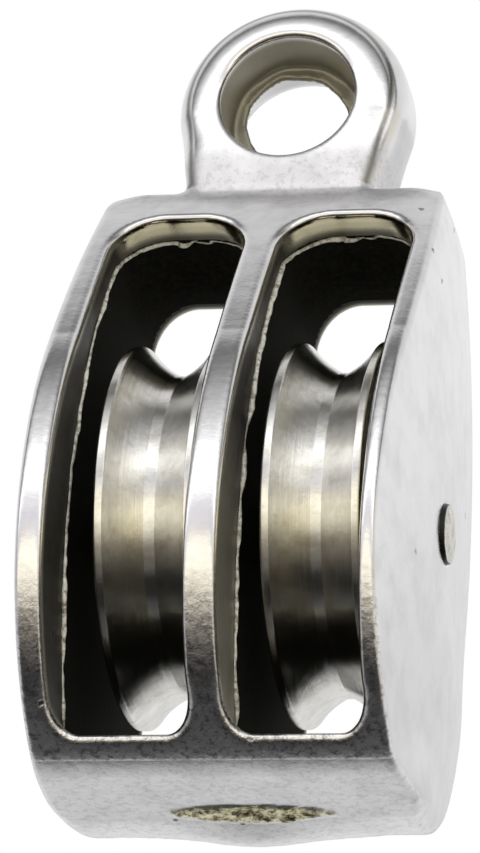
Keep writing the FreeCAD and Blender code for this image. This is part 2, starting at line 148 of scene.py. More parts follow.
def noise3(p, scale, seed=0):
    """Smooth value noise from -1 to 1 at the points p, scale cells per mm."""
    q = p * scale + 100.0
    base = np.floor(q).astype(np.int64)
    f = q - base
    f = f * f * (3.0 - 2.0 * f)
    total = np.zeros(len(p))
    for dx in (0, 1):
        wx = f[:, 0] if dx else 1.0 - f[:, 0]
        for dy in (0, 1):
            wy = f[:, 1] if dy else 1.0 - f[:, 1]
            for dz in (0, 1):
                wz = f[:, 2] if dz else 1.0 - f[:, 2]
                total += wx * wy * wz * lattice(
                    base[:, 0] + dx, base[:, 1] + dy, base[:, 2] + dz, seed)
    return total


def fractal(p, scale, seed=0, octaves=3):
    """Noise at several scales, each half as strong as the one before."""
    total, gain, norm = 0.0, 1.0, 0.0
    for k in range(octaves):
        total = total + gain * noise3(p, scale * 2.0 ** k, seed + 7 * k)
        norm += gain
        gain *= 0.5
    return total / norm


# ------------------------------------------------- the casting as a distance
def envelope(x, y, z):
    """The casting's outside without eye, slots or holes."""
    ay = np.abs(y)
    arc_up = np.hypot(ay - arc_y, z - WIDE_Z) - R_UP
    arc_low = np.hypot(ay - (WIDE_Y - R_LOW), z - WIDE_Z) - R_LOW
    flank = (ay - FLANK_P[0]) * FN_Y + (z - FLANK_P[1]) * FN_Z
    up = np.clip((z - FLANK_P[1]) / (BODY_TOP - FLANK_P[1]), 0, 1)
    flank = flank - FLANK_BULGE * up * (1 - up)
    steep = (z - WIDE_Z) > np.tan(FLANK_A) * (ay - arc_y)
    front = np.where(z < WIDE_Z, arc_low, np.where(steep, flank, arc_up))
    crown = np.where(x < 0, LEFT_CROWN_R, RIGHT_CROWN_R)
    side_x = (BODY_HALF_X - (crown - np.sqrt(crown ** 2 - y * y))
              - (BARREL_R - np.sqrt(BARREL_R ** 2 - z * z)))
    # the cheeks swell a little at the foot, where the mould halves meet
    middle = np.clip(1 - (y / FOOT_SWELL_Y) ** 2, 0, 1)
    side_x = side_x + FOOT_SWELL * smooth(-14.0, -19.0, z) * middle
    # and the right cheek is a little fuller behind
    rear_foot = smooth(-1.0, -9.0, z) * smooth(-3.0, 3.0, y)
    side_x = side_x + np.where(x > 0, REAR_FOOT_SWELL, 0.0) * rear_foot
    cheek = np.abs(x) - side_x
    low_rear = smooth(-15.0, -18.5, z) * smooth(0.0, 3.0, y)
    corner = EDGE_R + np.where(x < 0, LEFT_LOW_EDGE, RIGHT_LOW_EDGE) * low_rear
    d = round_and(front, cheek, corner)
    d = round_and(d, z - BODY_TOP, TOP_EDGE_R + TOP_END_R * smooth(9.0, 12.0, np.abs(x)))
    right_end = smooth(7.0, 11.0, x)
    foot_r = FOOT_EDGE_R + (FOOT_REAR_R + FOOT_CORNER_R * right_end) * smooth(0.0, 4.0, y)
    return round_and(d, BODY_FOOT - z, foot_r)


def slot_distance(x, y, z):
    """Distance to the nearer rope slot, negative inside it. The rear core's
    ceiling is lower than the front core's."""
    half_x = SLOT_HALF + SLOT_DRAFT * np.abs(y)
    rear = smooth(CEILING_STEP_FRONT, CEILING_STEP_REAR, y)
    top = SLOT_TOP + (SLOT_TOP_REAR - SLOT_TOP) * rear
    mid = (top + SLOT_BOTTOM) / 2
    half_z = (top - SLOT_BOTTOM) / 2 + SLOT_DRAFT * np.abs(y)
    r = np.where(z > mid, SLOT_R_TOP, SLOT_R_LOW)
    qx = np.abs(np.abs(x) - SLOT_X) - half_x + r
    qz = np.abs(z - mid) - half_z + r
    inside = np.minimum(np.maximum(qx, qz), 0.0)
    return inside + np.hypot(np.maximum(qx, 0), np.maximum(qz, 0)) - r


def eye_outline(x, y, z):
    """The eye's outline, drafted both ways from the parting plane."""
    x = x - EYE_SHIFT * smooth(26.0, 30.0, z)
    ax = np.abs(x) + EYE_DRAFT * (np.hypot(y, EYE_PARTING_SOFT) - EYE_PARTING_SOFT)
    ring = np.hypot(x, z - EYE_Z) - EYE_R + ax - np.abs(x)
    tip = (EYE_R * math.cos(EYE_RING_END), EYE_Z - EYE_R * math.sin(EYE_RING_END))
    run = (tip[0] - NECK_X, tip[1] - NECK_Z)
    size = math.hypot(*run)
    neck = (ax - tip[0]) * run[1] / size - (z - tip[1]) * run[0] / size
    return np.where(z > tip[1], ring, neck)


def casting(p):
    """The whole casting as a distance, negative in the metal."""
    x, y, z = p[..., 0], p[..., 1], p[..., 2]
    body = envelope(x, y, z)
    ay = np.abs(y)
    outline = np.maximum(eye_outline(x, y, z), NECK_Z - 3.0 - z)
    edge = EYE_EDGE_R - NECK_EDGE_CUT * smooth(EYE_Z - 2.0, EYE_Z - 7.0, z)
    ring = round_and(outline, ay - EYE_HALF_Y, edge)
    on_face = smooth(2.4, 3.4, ay) * smooth(6.6, 5.2, np.abs(x))
    fill = (NECK_FILL - FACE_FILL_CUT * on_face
            + LEFT_FILL * smooth(-4.5, -6.0, x) * (1 - on_face))
    d = soft_or(body, ring, fill)
    hole_r = np.hypot(x, z - EYE_Z)
    hole = hole_r - HOLE_R + HOLE_WAIST * (1 - np.clip(ay / HOLE_WAIST_Y, 0, 1))
    d = round_and(d, -hole, HOLE_EDGE_R + HOLE_REAR_EDGE * smooth(0.0, 2.4, y))
    # ragged web of flash left in the hole where the two cores met
    turn = np.arctan2(z - EYE_Z, x)
    edge_r = (WEB_R + 0.05 * np.sin(3 * turn + 1.0) + 0.035 * np.sin(7 * turn)
              + 0.012 * np.sin(16 * turn + 2.0) + 0.20 * np.cos(turn - 2.4)
              - 0.35 * np.exp(-((turn + 2.2) / 0.6) ** 2))
    web_y = WEB_Y + 0.18 * np.sin(2 * turn + 0.6) + 0.06 * np.sin(9 * turn)
    web = np.maximum(np.abs(y - web_y) - WEB_HALF,
                     np.maximum(edge_r - hole_r, hole_r - WEB_OUTER_R))
    d = soft_or(d, web, WEB_FILL)
    lip = LIP_R + LOW_LIP_R * smooth(-15.0, -17.5, z)
    d = round_and(d, -slot_distance(x, y, z), lip)
    bore = np.hypot(y, z) - BORE_R
    return np.maximum(d, -bore)


def surface(f, low, high, h):
    """Quads round the zero level of f on a grid of cell h, evened out and pulled
    onto it. One vertex sits in each cell that the surface crosses."""
    n = [int(math.ceil((b - a) / h)) + 1 for a, b in zip(low, high)]
    axes = [low[i] + h * np.arange(n[i]) for i in range(3)]
    grid = np.empty(n, np.float32)
    slab = 24   # layers worked out together, to keep memory low
    for start in range(0, n[2], slab):
        zs = axes[2][start:start + slab]
        pts = np.stack(np.meshgrid(axes[0], axes[1], zs, indexing="ij"), -1)
        grid[:, :, start:start + slab] = f(pts)
    solid = grid < 0
    count = np.zeros([k - 1 for k in n], np.int8)
    for a in (0, 1):
        for b in (0, 1):
            for c in (0, 1):
                count += solid[a:n[0] - 1 + a, b:n[1] - 1 + b, c:n[2] - 1 + c]
    active = (count > 0) & (count < 8)
    ijk = np.argwhere(active)
    index = np.full(active.shape, -1, np.int64)
    index[active] = np.arange(len(ijk))
    total = np.zeros((len(ijk), 3))
    hits = np.zeros(len(ijk))
    for axis in range(3):
        u, v = [a for a in range(3) if a != axis]
        for cu in (0, 1):
            for cv in (0, 1):
                o = np.zeros(3, int)
                o[u], o[v] = cu, cv
                e = o.copy()
                e[axis] = 1
                fa = grid[tuple((ijk + o).T)].astype(float)
                fb = grid[tuple((ijk + e).T)].astype(float)
                cross = (fa < 0) != (fb < 0)
                t = np.where(cross, fa / np.where(cross, fa - fb, 1.0), 0.0)
                pos = np.tile(o.astype(float), (len(ijk), 1))
                pos[:, axis] += t
                total[cross] += pos[cross]
                hits[cross] += 1
    verts = np.array(low) + h * (ijk + total / hits[:, None])
    quads = []
    for axis in range(3):
        u, v = (axis + 1) % 3, (axis + 2) % 3
        first = [slice(None)] * 3
        second = [slice(None)] * 3
        first[axis], second[axis] = slice(0, -1), slice(1, None)
        change = solid[tuple(first)] != solid[tuple(second)]
        e = np.argwhere(change)
        e = e[(e[:, u] > 0) & (e[:, v] > 0)]
        leaving = solid[tuple(e.T)]
        ring = []
        for du, dv in ((-1, -1), (0, -1), (0, 0), (-1, 0)):
            c = e.copy()
            c[:, u] += du
            c[:, v] += dv
            ring.append(index[tuple(c.T)])
        ring = np.stack(ring, 1)
        ring[~leaving] = ring[~leaving][:, ::-1]
        quads.append(ring)
    quads = np.concatenate(quads)
    edges = np.concatenate([quads[:, [0, 1]], quads[:, [1, 2]],
                            quads[:, [2, 3]], quads[:, [3, 0]]])
    evening_rounds, pulls = 3, 2
    for _ in range(evening_rounds):
        mean = np.zeros_like(verts)
        near = np.zeros(len(verts))
        for a, b in ((0, 1), (1, 0)):
            for k in range(3):
                mean[:, k] += np.bincount(edges[:, a], verts[edges[:, b], k], len(verts))
            near += np.bincount(edges[:, a], minlength=len(verts))
        verts = 0.5 * verts + 0.5 * mean / near[:, None]
        for _ in range(pulls):
            verts, normal = onto(f, verts, h)
    return verts, quads, normal


def slope(f, p):
    """Gradient of f at the points p."""
    e = 0.02
    g = np.empty_like(p)
    for k in range(3):
        d = np.zeros(3)
        d[k] = e
        g[:, k] = f(p + d) - f(p - d)
    return g / (2 * e)


def onto(f, p, h):
    """Moves the points p to the zero level of f, by h at most."""
    g = slope(f, p)
    size = np.linalg.norm(g, axis=1)
    normal = g / np.maximum(size, 1e-6)[:, None]
    move = np.clip(f(p) / np.maximum(size, 0.3), -h, h)
    return p - normal * move[:, None], normal


def new_mesh(name, verts, faces):
    """A mesh object from millimetres measured from the axle pin."""
    verts = np.asarray(verts, float)
    faces = np.asarray(faces, np.int64)
    mesh = bpy.data.meshes.new(name)
    size = faces.shape[1]
    mesh.vertices.add(len(verts))
    mesh.vertices.foreach_set(
        "co", ((verts - np.array([0, 0, EYE_Z])) * MM).astype(np.float32).ravel())
    mesh.loops.add(faces.size)
    mesh.loops.foreach_set("vertex_index", faces.ravel().astype(np.int32))
    mesh.polygons.add(len(faces))
    mesh.polygons.foreach_set("loop_start", np.arange(0, faces.size, size, dtype=np.int32))
    mesh.polygons.foreach_set("use_smooth", np.ones(len(faces), bool))
    mesh.update(calc_edges=True)
    mesh.validate()
    obj = bpy.data.objects.new(name, mesh)
    bpy.context.scene.collection.objects.link(obj)
    return obj


def paint(obj, name, values):
    """A number on each vertex, which the materials read by its name."""
    layer = obj.data.attributes.new(name, "FLOAT", "POINT")
    layer.data.foreach_set("value", np.asarray(values, np.float32))


# ----------------------------------------------------------------- node help
def material(name, metallic, rough, colour):
    mat = bpy.data.materials.new(name)
    mat.use_nodes = True
    tree = mat.node_tree
    shader = next(n for n in tree.nodes if n.type == "BSDF_PRINCIPLED")
    shader.inputs["Metallic"].default_value = metallic
    shader.inputs["Roughness"].default_value = rough
    shader.inputs["Base Color"].default_value = (*colour, 1)
    return mat, tree, shader


class Graph:
    """Short names for building a node tree."""

    def __init__(self, tree):
        self.tree = tree
        self.coords = tree.nodes.new("ShaderNodeTexCoord").outputs["Object"]

    def put(self, socket, value):
        if isinstance(value, (int, float)):
            socket.default_value = value
        elif isinstance(value, (tuple, list)):
            full = len(socket.default_value)
            socket.default_value = tuple(value)[:full] if len(value) >= full else (*value, 1.0)
        else:
            self.tree.links.new(value, socket)

    def math(self, how, a, b=0.0, clamp=False):
        n = self.tree.nodes.new("ShaderNodeMath")
        n.operation, n.use_clamp = how, clamp
        self.put(n.inputs[0], a)
        self.put(n.inputs[1], b)
        return n.outputs[0]

    def vector(self, how, a, b):
        n = self.tree.nodes.new("ShaderNodeVectorMath")
        n.operation = how
        self.put(n.inputs[0], a)
        self.put(n.inputs[1], b)
        return n.outputs["Vector"]

    def scaled(self, factors):
        """Object coordinates in millimetres times three factors."""
        return self.vector("MULTIPLY", self.coords, tuple(1000.0 * f for f in factors))

    def noise(self, vector, scale, detail=3.0, rough=0.55):
        n = self.tree.nodes.new("ShaderNodeTexNoise")
        self.put(n.inputs["Vector"], vector)
        self.put(n.inputs["Scale"], scale)
        self.put(n.inputs["Detail"], detail)
        self.put(n.inputs["Roughness"], rough)
        return n.outputs["Fac"]

    def warp(self, vector, scale, amount):
        """A small wandering offset, in the units of the vector."""
        n = self.tree.nodes.new("ShaderNodeTexNoise")
        self.put(n.inputs["Vector"], vector)
        self.put(n.inputs["Scale"], scale)
        shift = self.vector("SUBTRACT", n.outputs["Color"], (0.5, 0.5, 0.5))
        return self.vector("MULTIPLY", shift, (amount, amount, amount))

    def spots(self, vector, scale):
        """Distance to the nearest scattered point, and that point's own value."""
        n = self.tree.nodes.new("ShaderNodeTexVoronoi")
        self.put(n.inputs["Vector"], vector)
        self.put(n.inputs["Scale"], scale)
        return n.outputs["Distance"], n.outputs["Color"]

    def ramp(self, fac, stops):
        n = self.tree.nodes.new("ShaderNodeValToRGB")
        items = n.color_ramp.elements
        while len(items) < len(stops):
            items.new(0.5)
        for item, (at, colour) in zip(items, stops):
            item.position = at
            if isinstance(colour, (int, float)):
                colour = (colour,) * 3
            item.color = (*colour, 1.0)
        self.put(n.inputs["Fac"], fac)
        return n.outputs["Color"]

    def span(self, value, a, b, c=0.0, d=1.0):
        """The range a to b carried over to c to d."""
        n = self.tree.nodes.new("ShaderNodeMapRange")
        self.put(n.inputs["Value"], value)
        for key, v in (("From Min", a), ("From Max", b), ("To Min", c), ("To Max", d)):
            n.inputs[key].default_value = v
        return n.outputs["Result"]

    def mix(self, fac, a, b):
        n = self.tree.nodes.new("ShaderNodeMix")
        n.data_type = "RGBA"
        self.put(n.inputs["Factor"], fac)
        sockets = [s for s in n.inputs if s.type == "RGBA"]
        self.put(sockets[0], a)
        self.put(sockets[1], b)
        return next(s for s in n.outputs if s.type == "RGBA")

    def attribute(self, name):
        n = self.tree.nodes.new("ShaderNodeAttribute")
        n.attribute_name = name
        return n.outputs["Fac"]

    def bump(self, height, distance, strength):
        n = self.tree.nodes.new("ShaderNodeBump")
        self.put(n.inputs["Height"], height)
        self.put(n.inputs["Distance"], distance)
        self.put(n.inputs["Strength"], strength)
        return n.outputs["Normal"]


def casting_material():
    """Bright plating, going to tarnish at the slot mouths and to near-black painted
    shade inside, with soot, pits, a painted shadow line in the crease round the eye
    and the broken gate with painted glints and shade."""
    tarnished, sooty, pitted = (0.66, 0.60, 0.40), (0.10, 0.10, 0.085), (0.12, 0.12, 0.11)
    # next: the colour of the painted shadow line in the crease round the eye
    crease_shade = (0.16, 0.155, 0.12)
    mat, tree, shader = material("plated_casting_metal", 1.0, 0.25, (0.78, 0.77, 0.79))
    g = Graph(tree)
    mm = g.scaled((1, 1, 1))
    recess = g.attribute("recess")
    tarnish = g.attribute("tarnish")
    rough_cast = g.attribute("rough_cast")
    crease = g.attribute("crease")
    gate = g.attribute("gate")
    cloud = g.noise(mm, 0.35, 4.0, 0.6)
    plate = g.ramp(cloud, [(0.30, (0.70, 0.69, 0.70)), (0.55, (0.80, 0.79, 0.80)),
                           (0.80, (0.84, 0.83, 0.83))])
    aged = g.mix(tarnish, plate, tarnished)
    grain = g.noise(mm, 2.6, 4.0, 0.65)
    soot = g.noise(mm, 2.3, 6.0, 0.72)
    grime = g.math("MULTIPLY", g.span(soot, 0.50, 0.60), rough_cast, clamp=True)
    aged = g.mix(g.math("MULTIPLY", grime, 0.6), aged, sooty)
    near, ident = g.spots(g.vector("ADD", mm, g.warp(mm, 1.6, 0.35)), 0.42)
    rare = g.math("GREATER_THAN", ident, 0.66)
    pit = g.math("MULTIPLY", g.span(near, 0.05, 0.11, 1.0, 0.0), rare, clamp=True)
    aged = g.mix(g.math("MULTIPLY", pit, 0.8), aged, pitted)
    # painted shadow line along the crease round the eye
    aged = g.mix(g.math("MULTIPLY", crease, 0.85), aged, crease_shade)
    # the broken gate: its rough break, with black and pale gold patches painted in as glints
    # and shade
    gate_glints_and_shade = g.ramp(g.noise(mm, 1.9, 5.0, 0.7),
                   [(0.40, (0.06, 0.055, 0.03)), (0.47, (0.42, 0.37, 0.18)),
                    (0.55, (1.00, 0.95, 0.66))])
    aged = g.mix(gate, aged, gate_glints_and_shade)
    # recess mixes in a near-black painted shade that is duller and less metallic
    dark = g.ramp(grain, [(0.35, (0.004, 0.004, 0.003)), (0.7, (0.020, 0.019, 0.012))])
    colour = g.mix(recess, aged, dark)
    g.put(shader.inputs["Base Color"], colour)
    g.put(shader.inputs["Metallic"], g.math("SUBTRACT", 1.0, g.math("MULTIPLY", recess, 0.9)))
    shader.inputs["Specular IOR Level"].default_value = 0.2
    patchy = g.noise(mm, 0.9, 5.0, 0.6)
    rough = g.span(patchy, 0.3, 0.75, 0.11, 0.20)
    rough = g.math("ADD", rough, g.math("MULTIPLY", recess, 0.28))
    rough = g.math("ADD", rough, g.math("MULTIPLY", rough_cast, 0.08))
    rough = g.math("ADD", rough, g.math("MULTIPLY", g.attribute("matte"), 0.24), clamp=True)
    g.put(shader.inputs["Roughness"], rough)
    # skin, pits and gate as height
    fine = g.noise(mm, 5.5, 5.0, 0.62)
    coarse = g.noise(mm, 1.7, 4.0, 0.6)
    height = g.math("ADD", g.math("MULTIPLY", fine, 0.35), g.math("MULTIPLY", coarse, 0.65))
    depth = g.math("ADD", 0.20, g.math("MULTIPLY", rough_cast, 0.55))
    height = g.math("MULTIPLY", height, depth)
    height = g.math("SUBTRACT", height, g.math("MULTIPLY", pit, 0.8))
    sooty_height = g.math("MULTIPLY", soot, g.math("MULTIPLY", rough_cast, 0.25))
    height = g.math("ADD", height, sooty_height)
    height = g.math("ADD", height, g.math("MULTIPLY", g.noise(mm, 3.1, 5.0, 0.7), gate))
    g.put(shader.inputs["Normal"], g.bump(height, 0.00008, 0.9))
    return mat


def core_shade_material():
    """Near-black painted shade deep in the slots, on dull metal where no plating reached."""
    mat, tree, shader = material("unplated_core_shade_metal", 0.1, 0.85, (0.01, 0.0095, 0.006))
    g = Graph(tree)
    mm = g.scaled((1, 1, 1))
    grain = g.noise(mm, 2.2, 5.0, 0.65)
    tone = g.ramp(grain, [(0.35, (0.006, 0.006, 0.004)), (0.7, (0.022, 0.021, 0.014))])
    g.put(shader.inputs["Base Color"], tone)
    g.put(shader.inputs["Roughness"], g.span(grain, 0.3, 0.7, 0.75, 0.95))
    shader.inputs["Specular IOR Level"].default_value = 0.05
    g.put(shader.inputs["Normal"], g.bump(g.noise(mm, 4.5, 4.0), 0.0001, 0.8))
    return mat


def flash_material():
    """The pale, ragged line of flash round each slot."""
    mat, tree, shader = material("flash_metal", 0.35, 0.45, (0.84, 0.80, 0.66))
    g = Graph(tree)
    mm = g.scaled((1, 1, 1))
    tone = g.ramp(g.noise(mm, 2.4, 4.0, 0.6),
                  [(0.34, (0.34, 0.31, 0.21)), (0.52, (0.95, 0.92, 0.80))])
    g.put(shader.inputs["Base Color"], tone)
    g.put(shader.inputs["Roughness"], g.span(g.noise(mm, 4.0), 0.3, 0.7, 0.3, 0.55))
    g.put(shader.inputs["Normal"], g.bump(g.noise(mm, 6.0, 4.0), 0.0001, 0.8))
    return mat


def sheave_material():
    """Turned metal: fine rings round the axle, a few brown stains, and highlights
    drawn out by the rings."""
    stained = (0.46, 0.40, 0.29)
    mat, tree, shader = material("turned_sheave_metal", 1.0, 0.2, (0.72, 0.71, 0.68))
    g = Graph(tree)
    mm = g.scaled((1, 1, 1))
    cloud = g.noise(mm, 0.5, 4.0, 0.6)
    tone = g.ramp(cloud, [(0.3, (0.66, 0.65, 0.61)), (0.6, (0.82, 0.81, 0.78)),
                          (0.8, (0.90, 0.89, 0.87))])
    stain = g.noise(g.scaled((0.6, 1, 1)), 0.9, 5.0, 0.7)
    tone = g.mix(g.span(stain, 0.52, 0.72, 0.0, 0.45), tone, stained)
    g.put(shader.inputs["Base Color"], tone)
    rings = g.noise(g.scaled((9.0, 0.05, 0.05)), 1.0, 5.0, 0.75)
    g.put(shader.inputs["Roughness"], g.span(rings, 0.3, 0.7, 0.15, 0.24))
    speck = g.noise(mm, 4.0, 4.0, 0.6)
    height = g.math("ADD", g.math("MULTIPLY", rings, 0.7), g.math("MULTIPLY", speck, 0.3))
    g.put(shader.inputs["Normal"], g.bump(height, 0.00003, 0.7))
    round_axle = tree.nodes.new("ShaderNodeTangent")
    round_axle.direction_type, round_axle.axis = "RADIAL", "X"
    g.put(shader.inputs["Tangent"], round_axle.outputs["Tangent"])
    shader.inputs["Anisotropic"].default_value = 0.85
    shader.inputs["Anisotropic Rotation"].default_value = 0.25
    return mat


def pin_material():
    """Drawn steel, with a painted shadow ring where it enters the casting."""
    gap_shadow = (0.035, 0.035, 0.028)
    mat, tree, shader = material("pin_steel_metal", 1.0, 0.28, (0.62, 0.61, 0.60))
    g = Graph(tree)
    mm = g.scaled((1, 1, 1))
    cloud = g.noise(mm, 1.3, 4.0, 0.6)
    tone = g.ramp(cloud, [(0.3, (0.42, 0.41, 0.34)), (0.5, (0.72, 0.71, 0.64)),
                          (0.75, (0.84, 0.83, 0.80))])
    # painted shadow ring where the pin enters the casting
    tone = g.mix(g.attribute("pin_entry_shadow"), tone, gap_shadow)
    g.put(shader.inputs["Base Color"], tone)
    grain = g.noise(g.scaled((1.0, 1.0, 9.0)), 2.0, 4.0, 0.7)
    g.put(shader.inputs["Roughness"], g.span(grain, 0.3, 0.7, 0.2, 0.38))
    g.put(shader.inputs["Normal"], g.bump(grain, 0.00005, 0.8))
    return mat


# ------------------------------------------------------------------- casting
def flash_depth(z):
    """Where the flash line runs on a slot wall, as y; it bows toward the front."""
    return FLASH_FRONT + FLASH_BEND * ((z - FLASH_MID_Z) / FLASH_HALF_Z) ** 2


def slot_shade(x, y, z, normal, depth, in_slot, ceiling):
    """How much near-black painted shade the slot surface gets. The plating reaches a
    little way in from the mouth, further on the ceiling and on walls that face left."""
    off_flash = y - flash_depth(z)
    ahead = smooth(0.4, -0.4, off_flash)
    # ahead of the flash and below the middle, the right side of the web gets less painted shade
    web_side = smooth(0.5, 1.0, x) * smooth(3.2, 2.8, x) * smooth(3.0, -6.0, z)
    on_wall = smooth(0.1, 1.0, depth) * (1.0 - (0.04 + 0.32 * web_side) * ahead)
    on_ceiling = 0.12 * smooth(0.7, 1.3, depth) + 0.68 * smooth(1.4, 2.3, depth)
    recess = np.where(in_slot, on_wall * (1 - ceiling) + on_ceiling * ceiling, 0.0)
    facing_left = smooth(-0.3, -0.7, normal[:, 0])
    recess = recess * (1 - facing_left * smooth(5.0, 2.5, depth))
    # behind the flash line the walls get black painted shade just inside the rear edge
    behind = smooth(-0.3, 0.3, off_flash) * smooth(0.25, 0.9, depth)
    return np.maximum(recess, in_slot * behind)


def foot_marks(verts, under):
    """The broken gate under the foot, and the height it and the lump behind add."""
    x, y = verts[:, 0], verts[:, 1]
    gate_x, gate_half_x, gate_y, gate_half_y = 1.0, 5.9, 1.25, 1.15
    lump_x, lump_wide, lump_y, lump_long, lump_high = 0.6, 4.4, 5.4, 3.0, 0.76
    gate = (1 - ((x - gate_x) / gate_half_x) ** 2 - ((y - gate_y) / gate_half_y) ** 2
            + 0.3 * fractal(verts, 1.1, 61))
    gate = smooth(0.0, 0.35, gate) * under
    gate_high = gate * (0.12 + 0.22 * fractal(verts, 1.9, 23))
    spread = ((x - lump_x) / lump_wide) ** 2 + ((y - lump_y) / lump_long) ** 2
    return gate, gate_high, under * lump_high * np.exp(-spread)


def build_casting():
    """The casting's mesh, with its finish painted on the vertices."""
    cell = CELL
    low = (-13.6, -16.2, BODY_FOOT - MARGIN)
    high = (13.6, 16.2, EYE_Z + EYE_R + MARGIN)
    verts, quads, normal = surface(casting, low, high, cell)
    x, y, z = verts.T
    depth = -envelope(x, y, z)
    wall = np.abs(slot_distance(x, y, z)) < WALL_BAND
    in_slot = wall & (z < SLOT_TOP + 0.5)
    ceiling = smooth(-0.15, -0.65, normal[:, 2]) * (z > 12) * (y < -1.5)
    # recess: how much near-black painted shade each point inside the slots gets
    recess = slot_shade(x, y, z, normal, depth, in_slot, ceiling)
    tarnish = np.where(in_slot, smooth(0.05, 0.5, depth) * (0.75 + 0.25 * ceiling), 0.0)
    # the front part of the eye's hole gets painted shade and tarnish as well
    hole_r = np.hypot(x, z - EYE_Z)
    hole = (hole_r < 4.9) * smooth(3.5, 2.9, np.abs(y)) * smooth(1.6, 0.9, y)
    recess = np.maximum(recess, 0.57 * hole)
    tarnish = np.maximum(tarnish, 0.8 * hole)
    # a painted shadow line, and a shallow groove, where the flat of the eye runs into its
    # rounded edge
    broad = 0.055 + 0.10 * smooth(28.5, 25.5, z)
    crease = np.exp(-((np.abs(normal[:, 1]) - 0.74) / broad) ** 2)
    crease = crease * (z > 24.9) * (hole_r > 5.6)
    # as-cast skin: rougher underneath, low on the faces and at the eye's root
    under = smooth(-16.5, -18.8, z) * smooth(-0.2, -0.6, normal[:, 2])
    low_face = smooth(-8.0, -14.0, z) * (np.abs(normal[:, 1]) > 0.3)
    root = smooth(28.6, 26.6, z) * smooth(22.5, 24.2, z)
    rough_cast = np.clip(0.35 * under + 0.75 * low_face + 0.30 * root, 0, 1)
    share = np.where(wall, WALL_SHARE, 1.0)
    skin = SKIN * fractal(verts, 0.7, 3) + ROUGH_SKIN * rough_cast * fractal(verts, 2.2, 11)
    gate, gate_high, lump = foot_marks(verts, under)
    skin = skin * share + gate_high - CREASE_DEPTH * crease + lump
    verts = verts + normal * skin[:, None]
    obj = new_mesh("cast_body", verts, quads)
    paint(obj, "recess", recess)
    paint(obj, "tarnish", tarnish)
    paint(obj, "rough_cast", np.maximum(rough_cast, gate))
    paint(obj, "matte", root)
    paint(obj, "crease", crease)
    paint(obj, "gate", gate)
    # behind the flash line the slots take the near-black painted shade material
    obj.data.materials.append(casting_material())
    obj.data.materials.append(core_shade_material())
    core_shaded = in_slot & (y > flash_depth(z)) & (depth > CORE_SHADE_DEPTH)
    obj.data.polygons.foreach_set("material_index", core_shaded[quads].all(axis=1).astype(np.int32))
    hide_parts("body_casting")
    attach(obj, "block")


def ridge(points, outward, width, height, seed):
    """A ragged ridge along points, standing out along the outward vectors."""
    points = np.asarray(points, float)
    outward = np.asarray(outward, float)
    n = len(points)
    t = np.gradient(points, axis=0)
    t /= np.linalg.norm(t, axis=1)[:, None]
    across = np.cross(t, outward)
    across /= np.linalg.norm(across, axis=1)[:, None]
    w = width * (0.8 + 0.4 * noise3(points, 0.7, seed) + 0.2 * noise3(points, 2.9, seed + 1))
    w = np.clip(w, 0.05, None)
    tall = height * np.clip(0.65 + 0.7 * noise3(points, 0.45, seed + 2)
                            + 0.35 * noise3(points, 1.4, seed + 6), 0.12, None)
    # thinned at both ends, and wandering from side to side
    ends = np.clip(np.minimum(np.arange(n), np.arange(n)[::-1]) / 6.0, 0.05, 1)
    side = 0.10 * noise3(points, 0.9, seed + 3) + 0.05 * noise3(points, 3.1, seed + 4)
    # cross-section: along the wall and out of it, each as a share of the size
    shape = [(-1.0, -0.25), (-0.75, 0.25), (-0.35, 0.8), (0.0, 1.0), (0.35, 0.75),
             (0.8, 0.2), (1.0, -0.25)]
    rows = [points + across * ((a * w * ends) + side)[:, None]
            + outward * (b * tall * ends)[:, None] for a, b in shape]
    verts = np.stack(rows, 1)
    m = len(shape)
    i, j = np.meshgrid(np.arange(n - 1), np.arange(m), indexing="ij")
    j2 = (j + 1) % m
    faces = np.stack([i * m + j, (i + 1) * m + j, (i + 1) * m + j2, i * m + j2], -1)
    return verts.reshape(-1, 3), faces.reshape(-1, 4)


def build_flash():
    """The thin line of flash round each slot, where front and rear cores met."""
    step = 0.12
    left_size, right_size = (0.15, 0.26), (0.13, 0.09)   # half width, height
    everything, faces, count = [], [], 0
    top_c = SLOT_TOP - SLOT_R_TOP
    low_c = SLOT_BOTTOM + SLOT_R_LOW
    for hand in (-1, 1):
        for side in (-1, 1):
            # up one wall, round the top corner and half of the ceiling
            heights = np.arange(low_c - 0.6, top_c, step)
            path = [(side * SLOT_HALF, flash_depth(z), z) for z in heights]
            out = [(-side, 0.0, 0.0)] * len(heights)
            start_y = flash_depth(top_c)
            for a in np.linspace(0, math.pi / 2, 40):
                path.append((side * (SLOT_HALF - SLOT_R_TOP * (1 - math.cos(a))),
                             start_y + (FLASH_CEILING_Y - start_y) * math.sin(a) ** 0.8,
                             top_c + SLOT_R_TOP * math.sin(a)))
                out.append((-side * math.cos(a), 0.0, -math.sin(a)))
            for x in np.arange(SLOT_HALF - SLOT_R_TOP, -0.3, -step):
                path.append((side * x, FLASH_CEILING_Y + 0.25 * math.sin(2.2 * x), SLOT_TOP))
                out.append((0.0, 0.0, -1.0))
            path = np.array(path) + np.array([hand * SLOT_X, 0, 0])
            wide, tall = left_size if side < 0 else right_size
            v, f = ridge(path, out, wide, tall, 31 + 5 * hand + 11 * side)
            everything.append(v)
            faces.append(f + count)
            count += len(v)
    obj = new_mesh("slot_flash_lines", np.concatenate(everything), np.concatenate(faces))
    obj.data.materials.append(flash_material())
    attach(obj, "block")


